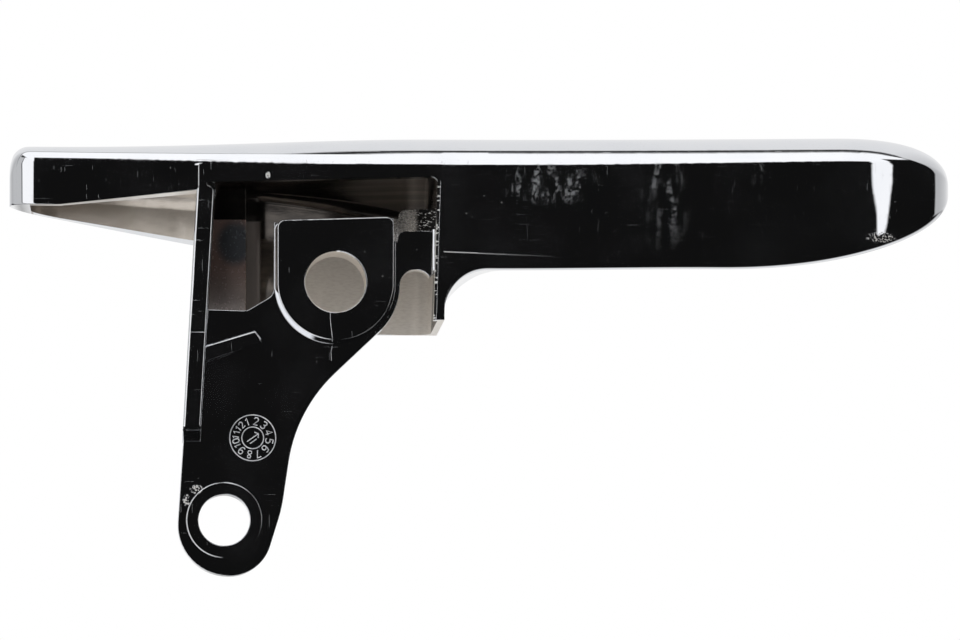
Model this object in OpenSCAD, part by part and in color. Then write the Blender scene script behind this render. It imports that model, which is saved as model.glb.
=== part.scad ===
// Inner release lever of a car door: a crowned cover and grip over a pivot bracket, with a rod arm below.
// X runs along the lever towards the grip's nose, Y along the pivot axis away from the near side,
// Z out of the door through the visible front. The origin is the middle of the pivot bore.

/* [Lever] */
// Distance from the pivot axis to the square end of the cover
cover_reach = 42.5; // [38:0.5:48]
// Distance from the pivot axis to the tip of the grip
grip_reach = 81.4; // [74:0.2:92]
// Depth of the grip along the pivot axis
grip_depth = 26; // [22:0.5:30]
// Depth of the cover at its square end
end_depth = 14.5; // [12:0.5:18]
// Height of the near front edge above the pivot axis
front_height = 16.8; // [15:0.1:20]
// Hollow sag of the near front edge at the middle of the grip
edge_sag = 0.4; // [0:0.1:0.8]
// Height of the grip's near wall at its middle
grip_height = 15.3; // [13:0.1:17]
// Rise of the grip's near lower edge from the bracket to the nose
grip_rise = 0.3; // [0:0.1:0.8]
// Height of the tip of the nose above the pivot axis
nose_height = 13.3; // [12:0.1:14]
// Length over which the grip's underside rises to the nose
nose_sweep = 31; // [28:0.2:40]

/* [Crown] */
// Radius of the crown between the near edge and its peak, over the grip
crown_near_r = 11.3; // [10.5:0.1:20]
// The same radius at the square end
crown_near_end_r = 9.6; // [9:0.1:20]
// Fall of the crown from its peak to the far side, over the grip
crown_fall = 5.8; // [5:0.1:7]
// The same fall at the square end
crown_fall_end = 3.5; // [3:0.1:4.5]
// Distance from the near side to the crown's peak over the grip
peak_depth = 8; // [6:0.5:10]
// The same distance at the square end
peak_depth_end = 5; // [4:0.5:7]
// Radius of the near front edge
edge_r = 1.7; // [1:0.1:2.2]
// Radius of the grip's lower near edge
grip_edge_r = 2.4; // [1.5:0.1:3]
// Draw-in of the near side's lower half towards the nose
belly = 0.5; // [0:0.1:0.8]
// Radius of the grip's far side
far_r = 3.4; // [2:0.1:3.8]
// Rise of the grip's underside from the near side to the far side
under_rise = 2.8; // [1:0.1:3.2]

/* [Walls] */
// Thickness of the front wall
front_wall = 2.4; // [2:0.1:3]
// Thickness of the cover's near wall
near_wall = 2; // [1.5:0.1:2.5]
// Thickness of the far wall
far_wall = 2.4; // [2:0.1:3]
// Thickness of the wall at the square end
end_wall = 2.7; // [2:0.1:3.2]
// Thickness of the bracket's wall towards the grip
cross_wall = 0.9; // [0.8:0.1:1.6]
// Step between the cover's near wall and the bracket's
side_step = 0.4; // [0.2:0.1:0.6]
// Lowest point of the cover's near rim, at the square end
rim_height = 9.7; // [9:0.1:11]
// Rise of the near rim from the square end to the bracket
rim_rise = 2; // [1:0.1:2.5]
// Drop of the far rim from the square end to the bracket
rim_drop = 3.9; // [3:0.1:4.2]

/* [Bracket] */
// Distance from the pivot axis to the bracket's wall towards the grip
pocket_right = 13.2; // [12.5:0.1:15]
// Height of the pocket's front edge above the pivot axis, at the flange
pocket_top = 12.7; // [11.5:0.1:13.5]
// Rise of the pocket's front edge towards the grip
pocket_slope = 0.8; // [0:0.1:1.2]
// Depth of the bracket's walls below the pivot axis
bracket_drop = 5.2; // [4:0.1:6]
// Radius of the hollow corner under the grip
corner_r = 5.8; // [4:0.1:7]
// Length of the flat pad inside the far wall
pad_length = 4; // [3:0.1:5]
// Height of the flat pad's top above the pivot axis
pad_top = 9.5; // [8.5:0.1:10.5]
// Draft of the flat pad, as rise over run
pad_draft = 0.094; // [0.05:0.002:0.1]
// Slant of the far wall's inside between the pad and the grip, as rise over run
far_slope = 0.28; // [0.2:0.01:0.3]

/* [Pivot] */
// Radius of the pivot bore
bore_r = 3.95; // [3:0.05:4.5]
// Length of the pivot bore
bore_length = 8; // [7:0.5:10]
// Radius of the boss round the bore
boss_r = 7.9; // [7:0.1:8.2]
// Height of the boss's flat top above the pivot axis
boss_top = 8.3; // [7.5:0.1:9]
// Recess of the boss behind the near side
boss_recess = 3; // [2:0.1:4]
// Slope of the boss's flat top towards the grip, as rise over run
boss_slope = 0.03; // [0:0.01:0.05]
// Draft of the boss's side from the plate to its face
boss_draft = 0.3; // [0.2:0.05:0.9]

/* [Arm] */
// Recess of the arm's plate behind the near side
plate_recess = 6; // [5:0.1:7]
// Thickness of the arm's plate
plate_t = 3; // [2:0.1:4]
// Distance of the rod eye from the pivot axis, towards the square end
eye_x = 14.4; // [13.5:0.1:15.5]
// Distance of the rod eye below the pivot axis
eye_drop = 31; // [29:0.5:34]
// Radius of the rod eye
eye_r = 3.35; // [2.5:0.05:4]
// Radius of the raised ring round the rod eye
ring_r = 4.9; // [4.6:0.1:5.4]
// Height of the raised ring
ring_t = 0.4; // [0.2:0.1:0.6]
// Radius of the arm's outline outside the pivot axis
plate_r = 8.5; // [8.4:0.1:9.2]
// Distance of the flange's outer face from the pivot axis, level with it
flange_x = 18.8; // [18.5:0.1:20]
// Thickness of the flange
flange_t = 2.4; // [1.8:0.1:2.8]
// Lean of the flange from the vertical, in degrees
flange_lean = 3.1; // [2:0.1:4]
// Distance of the flange's lower end below the pivot axis
flange_drop = 19.6; // [17:0.1:21]
// Distance of the step in the flange below the bracket's walls
flange_step = 1.7; // [1:0.1:2.5]
// Thickness of the slanted rib
rib_t = 2.1; // [1.5:0.1:2.5]
// Recess of the slanted rib behind the near side
rib_recess = 3.6; // [2:0.1:5]

/* [Hidden] */
near = -bore_length / 2 - boss_recess;
plate_y = near + plate_recess;
sink = 0.05;
roof_steps = 7;
hollow_floor = -2 * bracket_drop;
flange_tan = tan(flange_lean);
pocket_corner = 0.9;
far_corner_r = 4;
notch_top = 1.9;
mouth_lean = 0.03;
rim_flat = 6.5;
rim_tilt = 0.5;
shoulder_z = 6.7;
notch_z = 10.75;
pad_proud = 0.3;
pad_upper = 4.5;
pad_gap = 2;
wall_steps = 5;
shoulder_h = 3.2;
shoulder_hollow = 3.4;
arc_steps = 6;
crown_steps = 9;
x_end = -cover_reach;
x_tip = grip_reach;
x_step = flange_left(front_height);
x_wall = pocket_right + cross_wall;
notch_end = pocket_right - 1.55;
notch_r = min(2.1, 0.65 * (notch_end - plate_r));
pad_end = x_step + flange_t + pad_length;
end_r = 3.3;
end_far_r = 5;
end_top_r = 2.4;
x_wide = 10;
nose_plan = 14.4;
nose_top = 15.4;
nose_blend = 3;
nose_power = 2.5;
sweep_power = 2.07;
grip_floor = front_height - grip_height;
chrome = [0.72, 0.73, 0.75];

function flange_left(z) = -flange_x + z * tan(flange_lean);
function flange_right(z) = flange_left(z) + flange_t;
function mix(a, b, t) = a + (b - a) * t;
function ramp(x, a, b) = min(1, max(0, (x - a) / (b - a)));
function ease(x, a, b) = let (t = ramp(x, a, b)) t * t * (3 - 2 * t);
function arc(cy, cz, r, a, b, n) = [
    for (i = [0:n]) let (t = mix(a, b, i / n)) [cy + r * cos(t), cz + r * sin(t)]
];

// How far a quarter of a superellipse has fallen away, from 0 at its start to 1 at its end
function fall(t, power) = 1 - pow(1 - pow(min(1, max(0, t)), power), 1 / power);

// Outline in plan: the near side and the far side at a distance x along the lever
function straight_far(x) = near + mix(end_depth, grip_depth, sin(90 * ramp(x, x_end, x_wide)));
function near_side(x) = near + end_r * fall((x_end + end_r - x) / end_r, 2);
function near_foot(x) = near_side(x) + (x < x_step ? side_step : 0);
function far_side(x) = straight_far(x) - end_far_r * fall((x_end + end_far_r - x) / end_far_r, 2);

// Side view: the near front edge, the crown and the undersides
function front_edge(x) = front_height - edge_sag * sin(180 * ramp(x, x_end, x_tip - nose_top))
    - end_top_r * fall((x_end + end_top_r - x) / end_top_r, 2);
function along_cover(x) = ease(x, x_end, x_end + 1.3 * cover_reach);
function near_arc(x) = mix(crown_near_end_r, crown_near_r, along_cover(x));
function full_peak(x) = mix(peak_depth_end, peak_depth, along_cover(x));
function peak_run(x) = min(full_peak(x), 0.5 * (far_side(x) - near_side(x)));
function far_arc(x) = let (
    run = straight_far(x) - high_far_r(x) - near - full_peak(x),
    drop = mix(crown_fall_end, crown_fall, along_cover(x))
) (run * run + drop * drop) / (2 * drop) + high_far_r(x);
function corner_floor(x) = let (d = x_wall + corner_r - x)
    grip_floor - corner_r + sqrt(max(0, corner_r * corner_r - d * d));
function near_floor(x) = x < x_step ? rim_height + rim_rise * ramp(x, x_end + rim_flat, x_step)
    : x < x_wall ? -bracket_drop
    : x < x_wall + corner_r ? corner_floor(x)
    : grip_floor + grip_rise * ease(x, x_wall + corner_r, x_tip - nose_sweep);
function far_floor(x) = x < x_step ? rim_height + rim_tilt - rim_drop * ramp(x, x_end, x_step)
    : near_floor(x) + under_rise * ease(x, x_wall, x_wall + 2 * corner_r);
function wall_foot(x) = near_foot(x) + belly * ease(x, x_wall + corner_r, x_tip - nose_plan);
function low_near_r(x) = x < x_wall ? 0.3 : mix(0.6, grip_edge_r, ease(x, x_wall, x_wall + corner_r));
function low_far_r(x) = x < x_wall ? 0.6 : mix(0.6, far_r, ease(x, x_wall, x_wall + 2 * corner_r));
function high_far_r(x) = mix(1.2, far_r, ease(x, x_end, x_wall));

// One closed section of the outside, from the lower near edge up over the crown and back underneath
function section(x) = let (
    yn = near_side(x),
    yf = far_side(x),
    top = front_edge(x),
    peak_y = yn + peak_run(x),
    rn = low_near_r(x),
    rf = high_far_r(x),
    rl = low_far_r(x),
    arc_n = near_arc(x),
    slope_n = asin((peak_run(x) - edge_r) / (arc_n - edge_r)),
    peak_z = top + arc_n * (1 - cos(slope_n)),
    arc_f = far_arc(x),
    slope_f = asin((yf - rf - peak_y) / (arc_f - rf)),
    far_z = peak_z - arc_f + (arc_f - rf) * cos(slope_f),
    wall_top = top - edge_r * cos(slope_n),
    lean = x < x_wall ? 0 : atan(2 * (wall_foot(x) - yn) / (wall_top - near_floor(x) - rn)),
    low = [wall_foot(x) + rn * (1 - cos(lean)), near_floor(x) + rn * (1 - sin(lean))]
) concat(
    arc(wall_foot(x) + rn, near_floor(x) + rn, rn, 270, 180 + lean, arc_steps),
    [for (i = [1:wall_steps]) let (t = i / (wall_steps + 1)) [
        yn + (low[0] - yn) * (x < x_wall ? 1 - t : (1 - t) * (1 - t)),
        mix(low[1], wall_top, t)
    ]],
    arc(yn + edge_r, top - edge_r * cos(slope_n), edge_r, 180, 90 + slope_n, arc_steps),
    arc(peak_y, peak_z - arc_n, arc_n, 90 + slope_n * 0.8, 90, 4),
    arc(peak_y, peak_z - arc_f, arc_f, 90 - slope_f / crown_steps, 90 - slope_f, crown_steps - 1),
    arc(yf - rf, far_z, rf, 90 - slope_f - (90 - slope_f) / arc_steps, 0, arc_steps - 1),
    arc(yf - rl, far_floor(x) + rl, rl, 0, -90, arc_steps)
);

// The nose draws each section in towards its tip, more slowly from below than from above
function nose_in(p, x) = let (
    tip_y = near + grip_depth / 2,
    side = fall(1 - (x_tip - x) / nose_plan, 2),
    above = fall(1 - (x_tip - x) / nose_top, nose_power),
    below = fall(1 - (x_tip - x) / nose_sweep, sweep_power),
    level = mix(below, above, ease(p[1], nose_height - nose_blend, nose_height + nose_blend))
) [mix(p[0], tip_y, side), mix(p[1], nose_height, level)];

end_cuts = [for (i = [0:5]) x_end + end_far_r * (1 - cos(15 * i + 2))];
bracket_cuts = [x_step - 0.05, x_step, -6, 6, x_wall - 0.05];
corner_cuts = [for (i = [0:7]) x_wall + corner_r * (1 - cos(90 * i / 7))];
grip_cuts = [for (i = [1:6]) mix(x_wall + corner_r, x_tip - nose_sweep, i / 6)];
nose_cuts = [for (i = [1:17]) x_tip - nose_sweep * (1 - sin(90 * i / 18))];
cuts = concat(end_cuts, [-31, -25], bracket_cuts, corner_cuts, grip_cuts, nose_cuts, [x_tip - 0.06]);

module skin(rings) {
    n = len(rings[0]);
    m = len(rings);
    polyhedron(
        points = [for (ring = rings) each ring],
        faces = concat(
            [[for (j = [0:n - 1]) n - 1 - j]],
            [[for (j = [0:n - 1]) (m - 1) * n + j]],
            [for (i = [0:m - 2]) for (j = [0:n - 1])
                [i * n + j, (i + 1) * n + (j + 1) % n, (i + 1) * n + j]],
            [for (i = [0:m - 2]) for (j = [0:n - 1])
                [i * n + j, i * n + (j + 1) % n, (i + 1) * n + (j + 1) % n]]
        )
    );
}

module outside() {
    skin([for (x = cuts) [for (p = section(x)) let (q = nose_in(p, x)) [x, q[0], q[1]]]]);
}

// The hollow follows the outside at the wall thicknesses and opens downwards. Between the flange and the grip
// it also opens to the near side, through a mouth below the pocket's front edge.
function roof(x, y) = let (
    peak_y = near_side(x) + peak_run(x),
    slope = asin((peak_run(x) - edge_r) / (near_arc(x) - edge_r)),
    r = y < peak_y ? near_arc(x) : far_arc(x),
    d = y - peak_y
) front_edge(x) - near_arc(x) * cos(slope) + near_arc(x) - r + sqrt(r * r - d * d) - front_wall;
function far_inside(x) = straight_far(x_step) - far_wall - pad_proud
    + far_slope * max(0, x - pad_end - pad_gap);
function pocket_edge(x) = pocket_top + pocket_slope * ramp(x, x_step, pocket_right)
    - pocket_corner * fall((x - pocket_right + pocket_corner) / pocket_corner, 2);
function hollow_ring(x, lean, y_far) = let (y_in = near_side(x) + near_wall) [
    for (p = concat(
        [[y_in, hollow_floor]],
        [for (i = [0:roof_steps]) let (y = mix(y_in, y_far, i / roof_steps)) [y, roof(x, y)]],
        [[y_far, hollow_floor]]
    )) [x + lean * p[1], p[0], p[1]]
];
function cover_inside(x) = straight_far(x) - far_wall - 3 * fall((x_end + end_wall + 4 - x) / 4, 2);
function cross_corner(x) = far_corner_r * fall((x - pocket_right + far_corner_r) / far_corner_r, 2);
module cover_hollow() {
    xs = [for (i = [0:4]) mix(x_end + end_wall, -flange_x - 1.5, i / 4)];
    skin(concat(
        [for (x = xs) hollow_ring(x, 0, cover_inside(x))],
        [hollow_ring(-flange_x + 0.1, flange_tan, cover_inside(-flange_x))]
    ));
}
module bracket_hollow() {
    corner = [for (i = [0:3]) pocket_right - far_corner_r * (1 - sin(30 * i))];
    xs = concat([pad_end + pad_gap, -4, 2], corner);
    skin(concat(
        [hollow_ring(-flange_x + flange_t, flange_tan, far_inside(x_step))],
        [for (x = xs) hollow_ring(x, 0, far_inside(x) - cross_corner(x))]
    ));
}

// The pad lies inside the far wall, with a shallow step across it above the level part
function pad_face(z) = far_inside(x_step) - pad_proud - pad_draft * (z + bracket_drop);
module pad() {
    x0 = -flange_x + 1;
    back = far_inside(x_step) + far_wall / 2;
    top = pad_top + pad_upper;
    translate([x0, 0, 0]) rotate([90, 0, 90]) linear_extrude(pad_end - x0) polygon([
        [back, -bracket_drop],
        [back, top],
        [pad_face(top) + pad_proud, top],
        [pad_face(pad_top) + pad_proud, pad_top],
        [pad_face(pad_top), pad_top],
        [pad_face(-bracket_drop), -bracket_drop]
    ]);
}
module near_mouth() {
    corner = [for (i = [0:3]) pocket_right - pocket_corner * (1 - sin(30 * i))];
    slab(near - 1, near + near_wall + sink) polygon(concat(
        [[x_step - 0.2, hollow_floor], [x_step - 0.2, near_floor(x_end) + rim_rise - 0.1]],
        [[x_step + 0.1, pocket_top - 0.3], [-flange_x + flange_t - 0.4, pocket_top]],
        [for (x = corner) [x, pocket_edge(x)]],
        [[pocket_right - mouth_lean * (pocket_top - hollow_floor), hollow_floor]]
    ));
}
module flange_notch() {
    x = flange_right(notch_z);
    slab(near - 1, plate_y) polygon([
        [x + 0.5, notch_z - 0.3],
        [x, notch_z],
        [x - 0.5, notch_z + 0.65],
        [x - 0.9, notch_z + 1.45],
        [x - 1, notch_z + 1.85],
        [x + 0.5, notch_z + 1.85]
    ]);
}

// Outlines of the bracket, as corners [x, z, radius]
function unit(v) = v / norm(v);
function turned(a, b) = (b - a + 540) % 360 - 180;
function corner(a, b, c) = let (
    p = [b[0], b[1]],
    u = unit([a[0], a[1]] - p),
    v = unit([c[0], c[1]] - p),
    half = acos(u * v) / 2
) b[2] == 0 ? [p] : let (
    centre = p + unit(u + v) * b[2] / sin(half),
    first = p + u * b[2] / tan(half) - centre,
    last = p + v * b[2] / tan(half) - centre,
    start = atan2(first[1], first[0]),
    turn = turned(start, atan2(last[1], last[0]))
) [for (i = [0:arc_steps]) let (t = start + turn * i / arc_steps) centre + b[2] * [cos(t), sin(t)]];
function rounded(c) = let (n = len(c)) [
    for (i = [0:n - 1]) each corner(c[(i + n - 1) % n], c[i], c[(i + 1) % n])
];

module slab(y0, y1) {
    translate([0, y1, 0]) rotate([90, 0, 0]) linear_extrude(y1 - y0) children();
}

// The plate runs from the window beside the flange, round the pivot and down to the rod eye
module plate() {
    window_z = -3.6;
    eye_left = flange_left(-eye_drop) - 0.2;
    slab(plate_y, plate_y + plate_t) polygon(rounded([
        [flange_left(window_z) + 0.3, window_z + 0.2, 0],
        [-boss_r - 3.6, window_z, 1.2],
        [-boss_r - 0.1, -1.5, 1.5],
        [-boss_r - 0.1, boss_top - 0.3, 0],
        [boss_r - 1, boss_top - 0.3, 0],
        [boss_r - 1, shoulder_z + 0.3, 0],
        [pocket_right + 0.3, shoulder_z + 0.3, 0],
        [pocket_right + 0.3, notch_top - 0.1, 0],
        [notch_end + 0.7, notch_top - 0.95, 0],
        [notch_end, notch_top, notch_r],
        [plate_r, notch_top, notch_r],
        [plate_r, -plate_r * tan(23.5), plate_r],
        [-eye_x + 9.4, -eye_drop + 14.5, 20],
        [-eye_x + 7.5, -eye_drop + 1.5, 20],
        [-eye_x + 4.8, -eye_drop - 7.25, 5.5],
        [eye_left - 0.2, -eye_drop - 7.25, 6.6]
    ]));
}

function tomb(r, top) = concat(
    rounded_corner(-r, top, 1, 180),
    rounded_corner(r, top, 1, 90),
    [for (i = [0:24]) [r * cos(-7.5 * i), r * sin(-7.5 * i)]]
);
function rounded_corner(x, z, r, start) = [
    for (i = [0:4]) let (t = start - 22.5 * i)
        [x - sign(x) * r + r * cos(t), z + boss_slope * x - r + r * sin(t)]
];
function tomb_ring(r, top, y) = [for (p = tomb(r, top)) [p[0], y, p[1]]];
module boss() {
    skin([
        tomb_ring(boss_r, boss_top, bore_length / 2),
        tomb_ring(boss_r, boss_top, plate_y),
        tomb_ring(boss_r - boss_draft, boss_top, -bore_length / 2)
    ]);
}

// The shoulder ties the boss to the wall towards the grip. Its face is a hollow curve that starts at the
// boss's edge, and it runs down the boss's side in a fillet.
module shoulder() {
    x0 = boss_r - boss_draft - sink;
    x1 = pocket_right + 0.3;
    y0 = -bore_length / 2 + sink;
    side = boss_r + 0.5;
    low = shoulder_z - 1.3;
    intersection() {
        translate([0, 0, low - 1]) linear_extrude(shoulder_h + 3) polygon(concat(
            [[x1, plate_y + plate_t], [boss_r - 1, plate_y + plate_t], [boss_r - 1, y0]],
            [for (i = [0:arc_steps]) let (t = 90 * i / arc_steps) [
                x0 + (x1 - x0) * (1 - cos(t)),
                y0 + shoulder_hollow * sin(t)
            ]]
        ));
        slab(near, plate_y + plate_t + 1) polygon(rounded([
            [boss_r - 2, low, 0],
            [side - 0.3, low, 0],
            [side, shoulder_z + 0.1, 0.9],
            [x1, shoulder_z + 0.3, 0],
            [x1, shoulder_z + shoulder_h + 0.1, 0],
            [side, shoulder_z + shoulder_h - 0.3, 0.9],
            [side - 0.1, boss_top + 0.1, 0],
            [boss_r - 2, boss_top - 0.2, 0]
        ]));
    }
}

// The flange stiffens the arm and closes the bracket on the cover's side
module flange() {
    y_back = plate_y + plate_t - 0.3;
    y_far = straight_far(-flange_x) - far_wall + 1;
    x = x_step + 1;
    mid = front_wall / 2;
    foot = -bracket_drop - flange_step;
    leaning([
        [near + sink, foot],
        [near + sink, -flange_drop],
        [plate_y + 0.5, -flange_drop - 1.2],
        [y_back, -flange_drop - 1.2],
        [y_back, foot]
    ]);
    leaning([
        [near + side_step, 0],
        [near + side_step, foot - 1],
        [y_back, foot - 1],
        [y_back, 0]
    ]);
    leaning([
        [near + side_step, front_edge(x) - 2 * edge_r],
        [near + side_step, -bracket_drop],
        [y_far, -bracket_drop],
        [y_far, roof(x, y_far) + mid],
        [mix(near, y_far, 0.6), roof(x, mix(near, y_far, 0.6)) + mid],
        [near + near_wall, roof(x, near + near_wall) + mid]
    ]);
}
module leaning(side) {
    skin([
        [for (p = side) [flange_right(p[1]) - sink, p[0], p[1]]],
        [for (p = side) [flange_left(p[1]), p[0], p[1]]]
    ]);
}
module rib() {
    z0 = -8.5;
    slab(near + rib_recess, plate_y + 0.5) polygon(rounded([
        [flange_right(z0) - 0.5, z0, 0],
        [flange_right(z0) + 6.4, z0 + 2.1, 0],
        [flange_right(z0) + 7.5, z0 + 0.7, 0.4],
        [flange_right(z0) - 0.5, z0 - rib_t, 0]
    ]));
}
module along_pivot(x, z, r, y0, y1, n = 64) {
    translate([x, y0, z]) rotate([-90, 0, 0]) cylinder(r = r, h = y1 - y0, $fn = n);
}

module handle_lever() {
    color(chrome) difference() {
        union() {
            difference() {
                outside();
                cover_hollow();
                bracket_hollow();
                near_mouth();
            }
            pad();
            plate();
            boss();
            shoulder();
            flange();
            rib();
            along_pivot(-eye_x, -eye_drop, ring_r, plate_y - ring_t, plate_y + 0.5);
        }
        flange_notch();
        along_pivot(0, 0, bore_r, near, plate_y + plate_t + bore_length);
        along_pivot(-eye_x, -eye_drop, eye_r, near, plate_y + plate_t + 1);
    }
}

handle_lever();
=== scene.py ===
import math

import bmesh
import bpy
from mathutils import Matrix, Vector


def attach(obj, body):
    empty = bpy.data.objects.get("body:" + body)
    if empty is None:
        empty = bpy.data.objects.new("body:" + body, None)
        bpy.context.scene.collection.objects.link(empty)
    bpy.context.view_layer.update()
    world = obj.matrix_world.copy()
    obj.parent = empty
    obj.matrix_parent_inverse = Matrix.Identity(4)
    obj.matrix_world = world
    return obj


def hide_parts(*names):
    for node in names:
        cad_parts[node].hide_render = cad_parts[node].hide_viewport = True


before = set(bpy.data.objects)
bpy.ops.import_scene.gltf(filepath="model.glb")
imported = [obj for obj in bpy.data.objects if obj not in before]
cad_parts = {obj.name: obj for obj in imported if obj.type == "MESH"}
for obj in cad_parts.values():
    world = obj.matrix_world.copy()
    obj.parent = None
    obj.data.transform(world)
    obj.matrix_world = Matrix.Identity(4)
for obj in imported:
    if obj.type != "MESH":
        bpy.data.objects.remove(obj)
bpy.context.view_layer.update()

# The lever's own dimensions, in millimetres, as in the part's source
MM = 0.001
COVER_REACH, GRIP_REACH = 42.5, 81.4
GRIP_DEPTH, END_DEPTH = 26.0, 14.5
FRONT_HEIGHT, EDGE_SAG, GRIP_HEIGHT = 16.8, 0.4, 15.3
NOSE_HEIGHT, NOSE_SWEEP, GRIP_RISE = 13.3, 31.0, 0.3
CROWN_NEAR_R, CROWN_NEAR_END_R = 11.3, 9.6
CROWN_FALL, CROWN_FALL_END = 5.8, 3.5
PEAK_DEPTH, PEAK_DEPTH_END = 8.0, 5.0
EDGE_R, GRIP_EDGE_R, FAR_R, UNDER_RISE, BELLY = 1.7, 2.4, 3.4, 2.8, 0.5
FRONT_WALL, NEAR_WALL, FAR_WALL, END_WALL = 2.4, 2.0, 2.4, 2.7
CROSS_WALL, SIDE_STEP = 0.9, 0.4
RIM_HEIGHT, RIM_RISE, RIM_DROP, RIM_FLAT, RIM_TILT = 9.7, 2.0, 3.9, 6.5, 0.5
POCKET_RIGHT, POCKET_TOP, POCKET_SLOPE = 13.2, 12.7, 0.8
BRACKET_DROP, CORNER_R = 5.2, 5.8
PAD_LENGTH, PAD_TOP, PAD_DRAFT, PAD_PROUD, PAD_GAP, FAR_SLOPE = 4.0, 9.5, 0.094, 0.3, 2.0, 0.28
BORE_R, BORE_LENGTH = 3.95, 8.0
BOSS_R, BOSS_TOP, BOSS_SLOPE, BOSS_DRAFT = 7.9, 8.3, 0.03, 0.3
PLATE_T, EYE_X, EYE_DROP, EYE_R = 3.0, 14.4, 31.0, 3.35
RING_R, RING_T, PLATE_R = 4.9, 0.4, 8.5
FLANGE_X, FLANGE_T, FLANGE_LEAN, FLANGE_DROP = 18.8, 2.4, 3.1, 19.6
FLANGE_STEP, RIB_T, RIB_RECESS = 1.7, 2.1, 3.6
NEAR = -7.0
PLATE_Y = -1.0
END_R, END_FAR_R, END_TOP_R = 3.3, 5.0, 2.4
X_WIDE, NOSE_PLAN, NOSE_TOP, NOSE_BLEND, NOSE_POWER, SWEEP_POWER = 10.0, 14.4, 15.4, 3.0, 2.5, 2.07
FAR_CORNER_R, POCKET_CORNER, NOTCH_TOP, NOTCH_R, NOTCH_Z = 4.0, 0.9, 1.9, 2.05, 10.75
MOUTH_LEAN, SHOULDER_Z, SHOULDER_H, SHOULDER_HOLLOW = 0.03, 6.7, 3.2, 3.4
TIP_PULL = 0.0595
# Small shapes that only this script has
BEVEL, BORE_LEAD, EYE_LEAD, FLANGE_EDGE_R = 0.12, 0.12, 0.05, 0.28
MOUTH_CHAMFER, WALL_FILLET_R, PLATE_EDGE_R, SHARP_ANGLE = 0.35, 0.4, 0.06, 32
PLATE_SHELF_Z = -3.6
LEAN = math.tan(math.radians(FLANGE_LEAN))
GRIP_FLOOR = FRONT_HEIGHT - GRIP_HEIGHT
HOLLOW_FLOOR = -2 * BRACKET_DROP
X_END, X_TIP = -COVER_REACH, GRIP_REACH
X_STEP = -FLANGE_X + FRONT_HEIGHT * LEAN
X_WALL = POCKET_RIGHT + CROSS_WALL
PAD_END = X_STEP + FLANGE_T + PAD_LENGTH


def sin(d):
    return math.sin(math.radians(d))


def cos(d):
    return math.cos(math.radians(d))


def asin(v):
    return math.degrees(math.asin(max(-1.0, min(1.0, v))))


def mix(a, b, t):
    return a + (b - a) * t


def ramp(x, a, b):
    return min(1.0, max(0.0, (x - a) / (b - a)))


def ease(x, a, b):
    t = ramp(x, a, b)
    return t * t * (3 - 2 * t)


def fall(t, power):
    return 1 - (1 - min(1.0, max(0.0, t)) ** power) ** (1 / power)


def arc(cy, cz, r, a, b, n):
    return [(cy + r * cos(mix(a, b, i / n)), cz + r * sin(mix(a, b, i / n))) for i in range(n + 1)]


def flange_left(z):
    return -FLANGE_X + z * LEAN


def flange_right(z):
    return flange_left(z) + FLANGE_T


# Outline in plan and in side view
def straight_far(x):
    return NEAR + mix(END_DEPTH, GRIP_DEPTH, sin(90 * ramp(x, X_END, X_WIDE)))


def near_side(x):
    return NEAR + END_R * fall((X_END + END_R - x) / END_R, 2)


def far_side(x):
    return straight_far(x) - END_FAR_R * fall((X_END + END_FAR_R - x) / END_FAR_R, 2)


def front_edge(x):
    sag = EDGE_SAG * sin(180 * ramp(x, X_END, X_TIP - NOSE_TOP))
    return FRONT_HEIGHT - sag - END_TOP_R * fall((X_END + END_TOP_R - x) / END_TOP_R, 2)


def along_cover(x):
    return ease(x, X_END, X_END + 1.3 * COVER_REACH)


def near_arc(x):
    return mix(CROWN_NEAR_END_R, CROWN_NEAR_R, along_cover(x))


def full_peak(x):
    return mix(PEAK_DEPTH_END, PEAK_DEPTH, along_cover(x))


def peak_run(x):
    return min(full_peak(x), 0.5 * (far_side(x) - near_side(x)))


def high_far_r(x):
    return mix(1.2, FAR_R, ease(x, X_END, X_WALL))


def far_arc(x):
    run = straight_far(x) - high_far_r(x) - NEAR - full_peak(x)
    drop = mix(CROWN_FALL_END, CROWN_FALL, along_cover(x))
    return (run * run + drop * drop) / (2 * drop) + high_far_r(x)


def near_floor(x):
    if x < X_STEP:
        return RIM_HEIGHT + RIM_RISE * ramp(x, X_END + RIM_FLAT, X_STEP)
    if x < X_WALL:
        return -BRACKET_DROP
    if x < X_WALL + CORNER_R:
        d = X_WALL + CORNER_R - x
        return GRIP_FLOOR - CORNER_R + math.sqrt(max(0.0, CORNER_R ** 2 - d * d))
    return GRIP_FLOOR + GRIP_RISE * ease(x, X_WALL + CORNER_R, X_TIP - NOSE_SWEEP)


def far_floor(x):
    if x < X_STEP:
        return RIM_HEIGHT + RIM_TILT - RIM_DROP * ramp(x, X_END, X_STEP)
    return near_floor(x) + UNDER_RISE * ease(x, X_WALL, X_WALL + 2 * CORNER_R)


def low_near_r(x):
    return 0.3 if x < X_WALL else mix(0.6, GRIP_EDGE_R, ease(x, X_WALL, X_WALL + CORNER_R))


def low_far_r(x):
    return 0.6 if x < X_WALL else mix(0.6, FAR_R, ease(x, X_WALL, X_WALL + 2 * CORNER_R))


def crown(x):
    yn, yf, top = near_side(x), far_side(x), front_edge(x)
    run, rf, arc_n, arc_f = peak_run(x), high_far_r(x), near_arc(x), far_arc(x)
    slope_n = asin((run - EDGE_R) / (arc_n - EDGE_R))
    peak_z = top + arc_n * (1 - cos(slope_n))
    slope_f = asin((yf - rf - yn - run) / (arc_f - rf))
    return yn, yf, top, yn + run, peak_z, arc_n, slope_n, arc_f, slope_f, rf


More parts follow.
